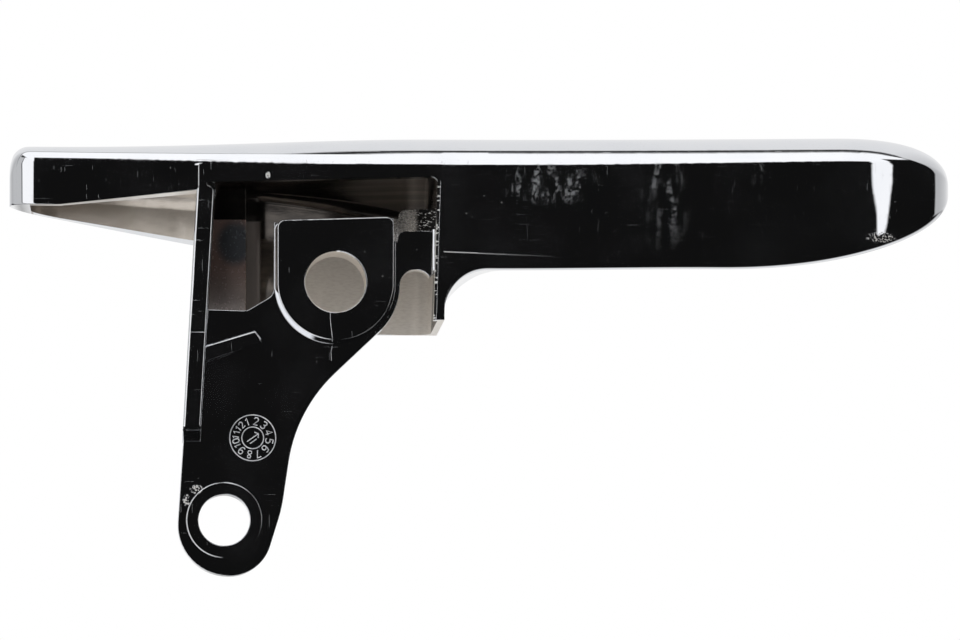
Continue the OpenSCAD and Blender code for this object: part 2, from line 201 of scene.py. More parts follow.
def section(x):
    yn, yf, top, peak_y, peak_z, arc_n, slope_n, arc_f, slope_f, rf = crown(x)
    rn, rl = low_near_r(x), low_far_r(x)
    foot = yn + (SIDE_STEP if x < X_STEP else 0.0)
    foot += BELLY * ease(x, X_WALL + CORNER_R, X_TIP - NOSE_PLAN)
    far_z = peak_z - arc_f + (arc_f - rf) * cos(slope_f)
    wall_top = top - EDGE_R * cos(slope_n)
    wall_height = wall_top - near_floor(x) - rn
    bow = math.degrees(math.atan(2 * (foot - yn) / wall_height)) if x >= X_WALL else 0
    low_y, low_z = foot + rn * (1 - cos(bow)), near_floor(x) + rn * (1 - sin(bow))
    wall = []
    for t in (0.02, 0.1, 0.2, 0.3, 0.4, 0.5, 0.6, 0.7, 0.8, 0.9, 0.98):
        share = (1 - t) if x < X_WALL else (1 - t) ** 2
        wall.append((yn + (low_y - yn) * share, mix(low_z, wall_top, t)))
    return (
        arc(foot + rn, near_floor(x) + rn, rn, 270, 180 + bow, 8) + wall
        + arc(yn + EDGE_R, top - EDGE_R * cos(slope_n), EDGE_R, 180, 90 + slope_n, 14)
        + arc(peak_y, peak_z - arc_n, arc_n, 90 + slope_n * 0.9, 90, 9)
        + arc(peak_y, peak_z - arc_f, arc_f, 90 - slope_f / 24, 90 - slope_f, 23)
        + arc(yf - rf, far_z, rf, 90 - slope_f - (90 - slope_f) / 12, 0, 11)
        + arc(yf - rl, far_floor(x) + rl, rl, 0, -90, 12)
    )


def nose_in(p, x):
    side = fall(1 - (X_TIP - x) / NOSE_PLAN, 2)
    above = fall(1 - (X_TIP - x) / NOSE_TOP, NOSE_POWER)
    below = fall(1 - (X_TIP - x) / NOSE_SWEEP, SWEEP_POWER)
    level = mix(below, above, ease(p[1], NOSE_HEIGHT - NOSE_BLEND, NOSE_HEIGHT + NOSE_BLEND))
    tip_pull = TIP_PULL * ramp(x, X_TIP - NOSE_PLAN, X_TIP)
    return (x - tip_pull, mix(p[0], NEAR + GRIP_DEPTH / 2, side), mix(p[1], NOSE_HEIGHT, level))


def spread(a, b, step):
    n = max(1, round((b - a) / step))
    return [mix(a, b, i / n) for i in range(n)]


def stations():
    xs = [X_END + END_FAR_R * (1 - cos(90 * i / 26)) for i in range(26)]
    xs += spread(X_END + END_FAR_R, X_STEP - 0.02, 0.8) + [X_STEP - 0.02]
    xs += spread(X_STEP, X_WALL - 0.02, 1.0) + [X_WALL - 0.02]
    xs += [X_WALL + CORNER_R * (1 - cos(90 * i / 26)) for i in range(26)]
    xs += spread(X_WALL + CORNER_R, X_TIP - NOSE_SWEEP, 0.9)
    xs += [X_TIP - NOSE_SWEEP * (1 - sin(90 * i / 72)) for i in range(72)]
    return xs + [X_TIP - 0.0005]


# Mesh building: closed skins over rings, and prisms with rounded edges
def mesh_object(name, bm):
    bmesh.ops.remove_doubles(bm, verts=bm.verts, dist=1e-5)
    bmesh.ops.recalc_face_normals(bm, faces=bm.faces)
    mesh = bpy.data.meshes.new(name)
    bm.to_mesh(mesh)
    bm.free()
    obj = bpy.data.objects.new(name, mesh)
    bpy.context.scene.collection.objects.link(obj)
    return obj


def skin(name, rings):
    bm = bmesh.new()
    rows = [[bm.verts.new(p) for p in ring] for ring in rings]
    n = len(rows[0])
    for a, b in zip(rows, rows[1:]):
        for j in range(n):
            bm.faces.new((a[j], a[(j + 1) % n], b[(j + 1) % n], b[j]))
    bm.faces.new(list(reversed(rows[0])))
    bm.faces.new(rows[-1])
    return mesh_object(name, bm)


def inset(outline, d):
    if d == 0:
        return list(outline)
    area = sum(a[0] * b[1] - b[0] * a[1] for a, b in zip(outline, outline[1:] + outline[:1]))
    turn = 1 if area > 0 else -1
    moved = []
    n = len(outline)
    for i, p in enumerate(outline):
        a, c = Vector(outline[i - 1]), Vector(outline[(i + 1) % n])
        u, v = (Vector(p) - a).normalized(), (c - Vector(p)).normalized()
        nu, nv = Vector((-u.y, u.x)) * turn, Vector((-v.y, v.x)) * turn
        m = (nu + nv) / max(0.3, 1 + nu.dot(nv))
        moved.append((p[0] + m.x * d, p[1] + m.y * d))
    return moved


def round_levels(y0, y1, r0, r1, n=4):
    levels = [(y0 + r0 * (1 - cos(90 * i / n)), r0 * (1 - sin(90 * i / n))) for i in range(n + 1)]
    levels += [(y1 - r1 * (1 - cos(90 * i / n)), r1 * (1 - sin(90 * i / n))) for i in range(n, -1, -1)]
    return levels


def prism(name, outline, y0, y1, r0=0.25, r1=0.25):
    levels = round_levels(y0, y1, r0, r1)
    return skin(name, [[(p[0], y, p[1]) for p in inset(outline, d)] for y, d in levels])


def rounded(corners, steps=14):
    points = []
    n = len(corners)
    for i, (x, z, r) in enumerate(corners):
        p = Vector((x, z))
        if r == 0:
            points.append((x, z))
            continue
        u = (Vector(corners[i - 1][:2]) - p).normalized()
        v = (Vector(corners[(i + 1) % n][:2]) - p).normalized()
        half = math.acos(max(-1.0, min(1.0, u.dot(v)))) / 2
        centre = p + (u + v).normalized() * r / math.sin(half)
        first = p + u * r / math.tan(half) - centre
        last = p + v * r / math.tan(half) - centre
        start = math.degrees(math.atan2(first.y, first.x))
        turn = (math.degrees(math.atan2(last.y, last.x)) - start + 540) % 360 - 180
        points += [
            (centre.x + r * cos(start + turn * k / steps), centre.y + r * sin(start + turn * k / steps))
            for k in range(steps + 1)
        ]
    return points


def circle(x, z, r, n=96):
    return [(x + r * cos(360 * i / n), z + r * sin(360 * i / n)) for i in range(n)]


def tube(name, x, z, levels, n=96):
    return skin(name, [[(p[0], y, p[1]) for p in circle(x, z, r, n)] for y, r in levels])


# The hollows behind the crown
def roof(x, y):
    yn, yf, top, peak_y, peak_z, arc_n, slope_n, arc_f, slope_f, rf = crown(x)
    r = arc_n if y < peak_y else arc_f
    d = y - peak_y
    return top - arc_n * cos(slope_n) + arc_n - r + math.sqrt(max(0.0, r * r - d * d)) - FRONT_WALL


def hollow_ring(x, lean, y_far, drop=0.0, r_near=1.0, r_far=1.2):
    y_in = near_side(x) + NEAR_WALL
    points = [(y_in, HOLLOW_FLOOR)]
    for i in range(9):
        t = i / 8
        a = (y_in, roof(x, y_in) - r_near)
        b = (y_in, roof(x, y_in))
        c = (y_in + r_near, roof(x, y_in + r_near))
        points.append(tuple((1 - t) ** 2 * a[k] + 2 * t * (1 - t) * b[k] + t * t * c[k] for k in (0, 1)))
    for i in range(1, 24):
        y = mix(y_in + r_near, y_far - r_far, i / 24)
        points.append((y, roof(x, y)))
    for i in range(11):
        t = i / 10
        a = (y_far - r_far, roof(x, y_far - r_far))
        b = (y_far, roof(x, y_far))
        c = (y_far, roof(x, y_far) - r_far)
        points.append(tuple((1 - t) ** 2 * a[k] + 2 * t * (1 - t) * b[k] + t * t * c[k] for k in (0, 1)))
    points.append((y_far, HOLLOW_FLOOR))
    return [(x + lean * z, y, z - (drop if z > 0 else 0.0)) for y, z in points]


def cover_inside(x):
    return straight_far(x) - FAR_WALL - 3 * fall((X_END + END_WALL + 4 - x) / 4, 2)


def cross_corner(x):
    return FAR_CORNER_R * fall((x - POCKET_RIGHT + FAR_CORNER_R) / FAR_CORNER_R, 2)


def far_inside(x):
    t = x - PAD_END - PAD_GAP
    bend = 0.8
    run = 0.0 if t < -bend else t if t > bend else (t + bend) ** 2 / (4 * bend)
    return straight_far(X_STEP) - FAR_WALL - PAD_PROUD + FAR_SLOPE * run


def pad_face(z):
    return far_inside(X_STEP) - PAD_PROUD - PAD_DRAFT * (z + BRACKET_DROP)


def pad():
    x0, top = -FLANGE_X + 1, PAD_TOP + 4.5
    back, r = far_inside(X_STEP) + FAR_WALL / 2, BEVEL
    side = [
        (back, -BRACKET_DROP), (back, top), (pad_face(top) + PAD_PROUD, top),
        (pad_face(PAD_TOP) + PAD_PROUD, PAD_TOP), (pad_face(PAD_TOP), PAD_TOP),
        (pad_face(-BRACKET_DROP), -BRACKET_DROP),
    ]
    rings = [[(x0, y, z) for y, z in side]]
    for i in range(5):
        x, d = PAD_END - r * (1 - sin(22.5 * i)), r * (1 - cos(22.5 * i))
        rings.append([(x, y + (d if y < back - 0.5 else 0), z) for y, z in side])
    return skin("pad", rings)


def pocket_edge(x):
    rise = POCKET_SLOPE * ramp(x, X_STEP, POCKET_RIGHT)
    return POCKET_TOP + rise - POCKET_CORNER * fall((x - POCKET_RIGHT + POCKET_CORNER) / POCKET_CORNER, 2)


def cover_hollow():
    x0, x1 = X_END + END_WALL, -FLANGE_X - 1.5
    xs = [x0 + 4 * (1 - cos(90 * i / 14)) for i in range(14)] + spread(x0 + 4, x1, 0.8) + [x1]
    rings = [hollow_ring(x, 0, cover_inside(x), 1.2 * fall((x0 + 1.2 - x) / 1.2, 2)) for x in xs]
    return skin("cover_hollow", rings + [hollow_ring(-FLANGE_X + 0.1, LEAN, cover_inside(-FLANGE_X))])


def bracket_hollow():
    r = 1.0
    x0, x1 = -FLANGE_X + FLANGE_T + 2, POCKET_RIGHT
    rings = [hollow_ring(-FLANGE_X + FLANGE_T, LEAN, far_inside(X_STEP), r)]
    for i in range(1, 9):
        t = i / 8
        x = mix(-FLANGE_X + FLANGE_T, -FLANGE_X + FLANGE_T + r, 1 - cos(90 * t))
        rings.append(hollow_ring(x, LEAN, far_inside(X_STEP), r * (1 - sin(90 * t))))
    xs = spread(x0, x1 - FAR_CORNER_R, 0.5)
    xs += [x1 - FAR_CORNER_R * (1 - sin(90 * i / 22)) for i in range(22)] + [x1]
    rings += [
        hollow_ring(x, 0, far_inside(x) - cross_corner(x), r * fall((x - x1 + r) / r, 2))
        for x in xs
    ]
    return skin("bracket_hollow", rings)


def mouth_edge(z):
    return POCKET_RIGHT - MOUTH_LEAN * (POCKET_TOP - z)


def near_mouth():
    xs = [POCKET_RIGHT - POCKET_CORNER * (1 - sin(90 * i / 10)) for i in range(11)]
    left = [
        (X_STEP - 0.2, HOLLOW_FLOOR), (X_STEP - 0.2, RIM_HEIGHT + RIM_RISE - 0.1),
        (X_STEP + 0.1, POCKET_TOP - 0.3), (-FLANGE_X + FLANGE_T - 0.4, POCKET_TOP),
    ]
    outline = left + [(x, pocket_edge(x)) for x in xs] + [(mouth_edge(HOLLOW_FLOOR), HOLLOW_FLOOR)]
    y1 = NEAR + NEAR_WALL + 0.05
    return skin("near_mouth", [[(p[0], y, p[1]) for p in outline] for y in (NEAR - 1, y1)])


def mouth_chamfer():
    c = MOUTH_CHAMFER
    rings = []
    for z in (HOLLOW_FLOOR, POCKET_TOP + POCKET_SLOPE - 0.6):
        x = mouth_edge(z)
        rings.append([(x - 0.5, NEAR - 0.5, z), (x + c + 0.5, NEAR - 0.5, z), (x - 0.5, NEAR + c + 0.5, z)])
    return skin("mouth_chamfer", rings)


def flange_notch():
    x, z = flange_right(NOTCH_Z), NOTCH_Z
    curve = [(x - 0.95 * (1 - cos(90 * i / 8)), z + 1.5 * sin(90 * i / 8)) for i in range(9)]
    outline = [(x + 0.5, z - 0.3)] + curve + [(x - 1, z + 1.85), (x + 0.5, z + 1.85)]
    return skin("flange_notch", [[(p[0], y, p[1]) for p in outline] for y in (NEAR - 1, PLATE_Y)])


# The bracket's own forms
def plate_outline():
    eye_left = flange_left(-EYE_DROP) - 0.2
    return rounded([
        (flange_left(PLATE_SHELF_Z) + 0.3, PLATE_SHELF_Z + 0.2, 0),
        (-BOSS_R - 3.6, PLATE_SHELF_Z, 1.2),
        (-BOSS_R - 0.1, -1.5, 1.5),
        (-BOSS_R - 0.1, BOSS_TOP - 0.3, 0),
        (BOSS_R - 1, BOSS_TOP - 0.3, 0),
        (BOSS_R - 1, SHOULDER_Z + 0.3, 0),
        (POCKET_RIGHT + 0.3, SHOULDER_Z + 0.3, 0),
        (POCKET_RIGHT + 0.3, NOTCH_TOP - 0.1, 0),
        (POCKET_RIGHT - 0.85, NOTCH_TOP - 0.95, 0),
        (POCKET_RIGHT - 1.55, NOTCH_TOP, NOTCH_R),
        (PLATE_R, NOTCH_TOP, NOTCH_R),
        (PLATE_R, -PLATE_R * math.tan(math.radians(23.5)), PLATE_R),
        (-EYE_X + 9.4, -EYE_DROP + 14.5, 20),
        (-EYE_X + 7.5, -EYE_DROP + 1.5, 20),
        (-EYE_X + 4.8, -EYE_DROP - 7.25, 5.5),
        (eye_left - 0.2, -EYE_DROP - 7.25, 6.6),
    ])


def tomb(r, top, d):
    c, rise = 1.0, BOSS_SLOPE * r
    left = [(-r + c + c * cos(180 - 9 * i), top - rise - c + c * sin(180 - 9 * i)) for i in range(11)]
    right = [(r - c + c * cos(90 - 9 * i), top + rise - c + c * sin(90 - 9 * i)) for i in range(11)]
    under = [(r * cos(-3 * i), r * sin(-3 * i)) for i in range(1, 61)]
    return inset(left + right + under[:-1], d)


def boss():
    r = BEVEL
    face, back = -BORE_LENGTH / 2, BORE_LENGTH / 2
    rings = []
    for i in range(5):
        y, d = face + r * (1 - cos(22.5 * i)), r * (1 - sin(22.5 * i))
        rings.append([(p[0], y, p[1]) for p in tomb(BOSS_R - BOSS_DRAFT, BOSS_TOP, d)])
    rings.append([(p[0], PLATE_Y, p[1]) for p in tomb(BOSS_R, BOSS_TOP, 0)])
    for i in range(4, -1, -1):
        y, d = back - r * (1 - cos(22.5 * i)), r * (1 - sin(22.5 * i))
        rings.append([(p[0], y, p[1]) for p in tomb(BOSS_R, BOSS_TOP, d)])
    return skin("boss", rings)


def shoulder():
    x0, x1, y0 = BOSS_R - BOSS_DRAFT - 0.05, POCKET_RIGHT + 0.3, -BORE_LENGTH / 2 + 0.05
    side, low = BOSS_R + 0.5, SHOULDER_Z - 1.3
    plan = [(x1, PLATE_Y + PLATE_T), (BOSS_R - 1, PLATE_Y + PLATE_T), (BOSS_R - 1, y0)]
    plan += [(x0 + (x1 - x0) * (1 - cos(3 * i)), y0 + SHOULDER_HOLLOW * sin(3 * i)) for i in range(31)]
    piece = skin("shoulder", [[(x, y, z) for x, y in plan] for z in (low - 1, low + SHOULDER_H + 2)])
    outline = rounded([
        (BOSS_R - 2, low, 0),
        (side - 0.3, low, 0),
        (side, SHOULDER_Z + 0.1, 0.9),
        (x1, SHOULDER_Z + 0.3, 0),
        (x1, SHOULDER_Z + SHOULDER_H + 0.1, 0),
        (side, SHOULDER_Z + SHOULDER_H - 0.3, 0.9),
        (side - 0.1, BOSS_TOP + 0.1, 0),
        (BOSS_R - 2, BOSS_TOP - 0.2, 0),
    ])
    join(piece, prism("shoulder_face", outline, NEAR, PLATE_Y + PLATE_T + 1, 0.01, 0.01), "INTERSECT")
    return piece


def wall_fillet():
    r, x = WALL_FILLET_R, POCKET_RIGHT
    plan = [(x + 0.3, PLATE_Y + 0.5), (x - r, PLATE_Y + 0.5)]
    plan += [(x - r + r * sin(9 * i), PLATE_Y - r + r * cos(9 * i)) for i in range(11)]
    plan += [(x + 0.3, PLATE_Y - r)]
    return skin("wall_fillet", [[(a, b, z) for a, b in plan] for z in (NOTCH_TOP - 0.1, SHOULDER_Z + 0.5)])


def leaning(name, side, near_y, r=FLANGE_EDGE_R):
    rings = []
    for i in (0, 1, 2, 3, 4, -4, -3, -2, -1, 0):
        turn = 22.5 * abs(i)
        back, inward = r * (1 - sin(turn)), r * (1 - cos(turn))
        first = len(rings) < 5
        rings.append([
            (flange_left(z) + inward if first else flange_right(z) - 0.05 - inward,
             y + (back if y <= near_y + 1e-6 else 0), z)
            for y, z in side
        ])
    return skin(name, rings)


def flange():
    y_back = PLATE_Y + PLATE_T - 0.3
    y_far = straight_far(-FLANGE_X) - FAR_WALL + 1
    x = X_STEP + 1
    mid = FRONT_WALL / 2
    foot = -BRACKET_DROP - FLANGE_STEP
    a, b = NEAR + 0.05, NEAR + SIDE_STEP
    end = [(a, foot)] + [
        (a + 0.8 * (1 - sin(15 * i)), -FLANGE_DROP - 0.12 + 0.8 * (1 - cos(15 * i)))
        for i in range(6, -1, -1)
    ]
    low = leaning("flange_low", end + [
        (PLATE_Y + 0.5, -FLANGE_DROP - 1.2), (y_back, -FLANGE_DROP - 1.2), (y_back, foot)
    ], a)
    strip = leaning("flange_strip", [(b, 0), (b, foot - 1), (y_back, foot - 1), (y_back, 0)], b)
    wall = leaning("flange_wall", [
        (b, front_edge(x) - 2 * EDGE_R),
        (b, -BRACKET_DROP),
        (y_far, -BRACKET_DROP),
        (y_far, roof(x, y_far) + mid),
        (mix(NEAR, y_far, 0.6), roof(x, mix(NEAR, y_far, 0.6)) + mid),
        (NEAR + NEAR_WALL, roof(x, NEAR + NEAR_WALL) + mid),
    ], b)
    return [low, strip, wall]


def rib():
    z0 = -8.5
    return prism("rib", rounded([
        (flange_right(z0) - 0.5, z0, 0),
        (flange_right(z0) + 6.4, z0 + 2.1, 0.25),
        (flange_right(z0) + 7.5, z0 + 0.7, 0.5),
        (flange_right(z0) - 0.5, z0 - RIB_T, 0),
    ], 6), NEAR + RIB_RECESS, PLATE_Y + 0.5, 0.22, 0.0001)


# One mesh from all of it
def join(body, tool, operation):
    mod = body.modifiers.new("cut", "BOOLEAN")
    mod.operation = operation
    mod.solver = "MANIFOLD"
    mod.object = tool
    graph = bpy.context.evaluated_depsgraph_get()
    mesh = bpy.data.meshes.new_from_object(body.evaluated_get(graph))
    body.modifiers.clear()
    old = body.data
    body.data = mesh
    bpy.data.meshes.remove(old)
    bpy.data.objects.remove(tool)


def hole(name, x, z, r, lead, face_y, end_y):
    rim = [(NEAR, r + lead), (face_y, r + lead)]
    rim += [(face_y + lead * sin(22.5 * i), r + lead * (1 - sin(22.5 * i))) for i in range(1, 5)]
    return tube(name, x, z, rim + [(end_y, r)])


def build_lever():
    body = skin("lever", [[nose_in(p, x) for p in section(x)] for x in stations()])
    for tool in (cover_hollow(), bracket_hollow(), near_mouth()):
        join(body, tool, "DIFFERENCE")
    ring = tube("ring", -EYE_X, -EYE_DROP, [
        (PLATE_Y - RING_T, RING_R - 0.08), (PLATE_Y - RING_T + 0.023, RING_R - 0.023),
        (PLATE_Y - RING_T + 0.08, RING_R), (PLATE_Y + 0.5, RING_R),
    ])
    plate = prism("plate", plate_outline(), PLATE_Y, PLATE_Y + PLATE_T, PLATE_EDGE_R, PLATE_EDGE_R)
    for tool in [pad(), plate, boss(), shoulder(), wall_fillet(), rib(), ring] + flange():
        join(body, tool, "UNION")
    bore = hole("bore", 0, 0, BORE_R, BORE_LEAD, -BORE_LENGTH / 2, BORE_LENGTH / 2 + 2)
    eye = hole("eye", -EYE_X, -EYE_DROP, EYE_R, EYE_LEAD, PLATE_Y - RING_T, PLATE_Y + PLATE_T + 1)
    for tool in (bore, eye, mouth_chamfer(), flange_notch()):
        join(body, tool, "DIFFERENCE")
    return body


lever = build_lever()
bm = bmesh.new()
bm.from_mesh(lever.data)
bmesh.ops.dissolve_degenerate(bm, dist=1e-4, edges=bm.edges)
bm.to_mesh(lever.data)
bm.free()
lever.data.transform(Matrix.Scale(MM, 4))
for p in lever.data.polygons:
    p.use_smooth = True
lever.data.set_sharp_from_angle(angle=math.radians(SHARP_ANGLE))
weighted = lever.modifiers.new("normals", "WEIGHTED_NORMAL")
weighted.keep_sharp = True
weighted.weight = 60

# Which finish a face has: outside, the two hollows (bare nickel with painted light and shade), the pad in
# the bracket (a painted reflection), the shoulder with a painted highlight and painted dark reflection, and
# the mouth's edge with a painted highlight
OUTSIDE, COVER_IN, POCKET_IN, PAD_FACE, SHOULDER_PAINTED_LIGHT, MOUTH_EDGE_PAINTED_HIGHLIGHT = range(6)


def finish_of(c, normal):
    x, y, z = c.x / MM, c.y / MM, c.z / MM
    at_mouth = POCKET_RIGHT - 0.5 < x < POCKET_RIGHT + 0.45 and y < NEAR + 0.4
    if at_mouth and z < POCKET_TOP + 0.6 and normal.x < -0.3:
        return MOUTH_EDGE_PAINTED_HIGHLIGHT
    if x > POCKET_RIGHT + 0.2 or x < X_END + END_WALL - 0.1 or z > FRONT_HEIGHT:
        return OUTSIDE
    beside_boss = x > BOSS_R - 0.2 and -BORE_LENGTH / 2 < y < PLATE_Y + 0.6
    if beside_boss and SHOULDER_Z - 1.4 < z < SHOULDER_Z + SHOULDER_H:
        return SHOULDER_PAINTED_LIGHT if abs(normal.z) < 0.7 else OUTSIDE
    if x > X_STEP and y < PLATE_Y + 0.1:
        deep = NEAR + 0.6 < y < PLATE_Y - 3.6 and -BRACKET_DROP + 1 < z < pocket_edge(x) + 0.6
        return POCKET_IN if deep else OUTSIDE
    inside = cover_inside(min(x, -FLANGE_X)) if x < X_STEP else far_inside(x) - cross_corner(x)
    if NEAR + 0.6 < y < inside + 0.3 and -BRACKET_DROP - 0.1 < z < roof(max(x, X_END + 0.1), y) + 0.2:
        if x < X_STEP:
            return COVER_IN if z > RIM_HEIGHT - RIM_DROP or normal.x > -0.5 else OUTSIDE
        if x < PAD_END + 0.05 and z < PAD_TOP + 0.1 and abs(y - pad_face(z)) < 0.25:
            return PAD_FACE
        return POCKET_IN
    return OUTSIDE


# Node helpers
def maths(tree):
    def run(operation, a, b=None, c=None, clamp=False):
        n = tree.nodes.new("ShaderNodeMath")
        n.operation = operation
        n.use_clamp = clamp
        for k, v in enumerate((a, b, c)):
            if isinstance(v, (int, float)):
                n.inputs[k].default_value = v
            elif v is not None:
                tree.links.new(v, n.inputs[k])
        return n.outputs[0]
    return run


class Finish:
    """A plated surface: its colour, roughness, metal and bump come from named masks."""

    def __init__(self, name, bevel_mm=0.08):
        self.material = bpy.data.materials.new(name)
        self.material.use_nodes = True
        self.tree = self.material.node_tree
        self.shader = self.tree.nodes["Principled BSDF"]
        self.math = maths(self.tree)
        coord = self.tree.nodes.new("ShaderNodeTexCoord")
        scale = self.tree.nodes.new("ShaderNodeVectorMath")
        scale.operation = "SCALE"
        scale.inputs["Scale"].default_value = 1 / MM
        self.tree.links.new(coord.outputs["Object"], scale.inputs[0])
        self.at = scale.outputs[0]
        split = self.tree.nodes.new("ShaderNodeSeparateXYZ")
        self.tree.links.new(self.at, split.inputs[0])
        self.x, self.y, self.z = split.outputs
        self.edge = self.tree.nodes.new("ShaderNodeBevel")
        self.edge.inputs["Radius"].default_value = bevel_mm * MM
        self.edge.samples = 6
        self.height = None

    def stretched(self, scale, turn=0.0):
        place = self.tree.nodes.new("ShaderNodeMapping")
        place.inputs["Scale"].default_value = scale
        place.inputs["Rotation"].default_value = (0, math.radians(turn), 0)
        self.tree.links.new(self.at, place.inputs["Vector"])
        return place.outputs[0]

    def noise(self, scale, detail=2.0, turn=0.0):
        n = self.tree.nodes.new("ShaderNodeTexNoise")
        n.inputs["Scale"].default_value = 1.0
        n.inputs["Detail"].default_value = detail
        self.tree.links.new(self.stretched(scale, turn), n.inputs["Vector"])
        return n.outputs[0]

    def step(self, value, low, high):
        n = self.tree.nodes.new("ShaderNodeMapRange")
        n.interpolation_type = "SMOOTHSTEP"
        n.inputs["From Min"].default_value = low
        n.inputs["From Max"].default_value = high
        self.tree.links.new(value, n.inputs["Value"])
        return n.outputs[0]

    def times(self, *values):
        total = values[0]
        for v in values[1:]:
            total = self.math("MULTIPLY", total, v)
        return total

    def plus(self, *values):
        total = values[0]
        for v in values[1:]:
            total = self.math("ADD", total, v)
        return total

    def blob(self, cx, cz, rx, rz):
        u = self.math("MULTIPLY", self.math("SUBTRACT", self.x, cx), 1 / rx)
        v = self.math("MULTIPLY", self.math("SUBTRACT", self.z, cz), 1 / rz)
        far = self.math("ADD", self.math("MULTIPLY", u, u), self.math("MULTIPLY", v, v))
        return self.step(far, 1.0, 0.25)

    def specks(self, scale, radius, share):
        """Round specks: one in some cells of a grid of points, share is how many cells have none."""
        n = self.tree.nodes.new("ShaderNodeTexVoronoi")
        n.inputs["Scale"].default_value = scale
        self.tree.links.new(self.at, n.inputs["Vector"])
        pick = self.tree.nodes.new("ShaderNodeSeparateColor")
        self.tree.links.new(n.outputs["Color"], pick.inputs[0])
        size = self.math("MULTIPLY", pick.outputs[1], radius * scale)
        near = self.step(self.math("DIVIDE", n.outputs["Distance"], self.math("ADD", size, 0.01)), 1.0, 0.7)
        return self.times(near, self.math("GREATER_THAN", pick.outputs[0], share))

    def scratches(self, scale, turn, level):
        return self.step(self.noise(scale, 1.0, turn), level, level + 0.03)

    def mixed(self, factor, a, b):
        n = self.tree.nodes.new("ShaderNodeMix")
        n.data_type = "RGBA"
        for key, v in (("Factor", factor), ("A", a), ("B", b)):
            if isinstance(v, tuple):
                n.inputs[key].default_value = (*v, 1)
            else:
                self.tree.links.new(v, n.inputs[key])
        return n.outputs["Result"]

    def add_height(self, value, depth_mm):
        part = self.math("MULTIPLY", value, depth_mm)
        self.height = part if self.height is None else self.math("ADD", self.height, part)

    def done(self, colour, rough, metal):
        for key, v in (("Base Color", colour), ("Roughness", rough), ("Metallic", metal)):
            self.tree.links.new(v, self.shader.inputs[key])
        bump = self.tree.nodes.new("ShaderNodeBump")
        bump.inputs["Strength"].default_value = 1.0
        bump.inputs["Distance"].default_value = MM
        self.tree.links.new(self.height, bump.inputs["Height"])
        self.tree.links.new(self.edge.outputs["Normal"], bump.inputs["Normal"])
        self.tree.links.new(bump.outputs["Normal"], self.shader.inputs["Normal"])
        return self.material


DUST = (0.62, 0.60, 0.57)


def outside_finish():
    f = Finish("chrome")
    # Smudges of dried liquid on the near wall of the grip, streaked downwards
    marks = f.plus(f.blob(27.8, 12.6, 7.5, 3.2), f.blob(42.8, 10.0, 3.8, 6.8), f.blob(55.5, 13.0, 1.5, 2.8))
    coarse, fine = f.noise((0.9, 1, 0.22), 4.0), f.noise((2.2, 2.2, 2.2), 3.0)
    streaks = f.times(f.step(coarse, 0.45, 0.6), f.step(fine, 0.35, 0.6))
    smudge = f.times(marks, streaks)
    haze = f.step(f.noise((0.12, 0.12, 0.12), 4.0), 0.4, 0.75)
    # Dust and fine scratches
    dusty = f.step(f.noise((0.09, 0.09, 0.09), 2.0), 0.42, 0.6)
    dust = f.plus(f.times(f.specks(1.3, 0.05, 0.90), dusty), f.specks(0.45, 0.085, 0.93))
    scratch = f.plus(f.scratches((0.2, 7, 7), 35, 0.74), f.scratches((7, 7, 0.2), 28, 0.74))
    # Places where the plating has come off
    by_eye = f.plus(f.blob(-18.0, -27.0, 1.0, 0.7), f.blob(-19.3, -28.4, 0.6, 0.9))
    bare = f.plus(by_eye, f.blob(71.2, 5.9, 2.3, 0.8))
    chips = f.times(bare, f.step(f.noise((4.5, 4.5, 4.5), 3.0), 0.54, 0.6))
    wall_chip = f.times(f.blob(-8.9, 13.6, 0.36, 0.5), f.step(f.noise((5, 5, 5), 1.0), 0.4, 0.5))
    # The parting line along the near wall
    drop = f.math("ADD", f.z, f.math("MULTIPLY", f.x, 0.037))
    line = f.times(
        f.step(f.math("ABSOLUTE", f.math("SUBTRACT", drop, 4.2)), 0.09, 0.03),
        f.step(f.x, 13.9, 14.1), f.step(f.x, 30.0, 15.0), f.step(f.y, -5.4, -5.8),
    )
    pale = f.math("MINIMUM", f.plus(dust, chips, wall_chip, f.times(line, 0.5)), 1.0)
    colour = f.mixed(pale, f.mixed(haze, (0.80, 0.812, 0.84), (0.77, 0.785, 0.82)), DUST)
    rough = f.plus(f.times(haze, 0.012), f.times(smudge, 0.16), f.times(scratch, 0.04))
    rough = f.plus(rough, f.times(pale, 0.5), 0.03)
    dull = f.plus(f.times(smudge, 0.05), f.times(haze, 0.006), f.times(scratch, 0.012), pale)
    f.add_height(f.noise((0.75, 0.75, 0.75), 1.0), 0.0035)
    f.add_height(scratch, -0.001)
    f.add_height(pale, 0.006)
    return f.done(colour, rough, f.math("SUBTRACT", 1.0, dull, clamp=True))


def cover_finish():
    f = Finish("cover_nickel_painted_light_shade")
    # The warm tone is the hollow's bare nickel. The lighter part towards the flange is painted light, and
    # the darker part towards the closed end is painted shade.
    light = f.step(f.plus(f.x, f.times(f.noise((0.2, 0.2, 0.2), 3.0), 5.0)), -29.0, -21.0)
    cloudy = f.noise((0.5, 0.5, 1.2), 4.0)
    colour = f.mixed(light, (0.42, 0.38, 0.34), (0.80, 0.765, 0.72))
    colour = f.mixed(f.times(f.step(cloudy, 0.45, 0.7), 0.35), colour, (0.48, 0.43, 0.38))
    rough = f.plus(f.times(cloudy, 0.14), 0.16)
    f.add_height(f.noise((1.5, 1.5, 1.5), 3.0), 0.008)
    metal = f.math("SUBTRACT", 0.86, f.times(cloudy, 0.12))
    return f.done(colour, rough, metal)


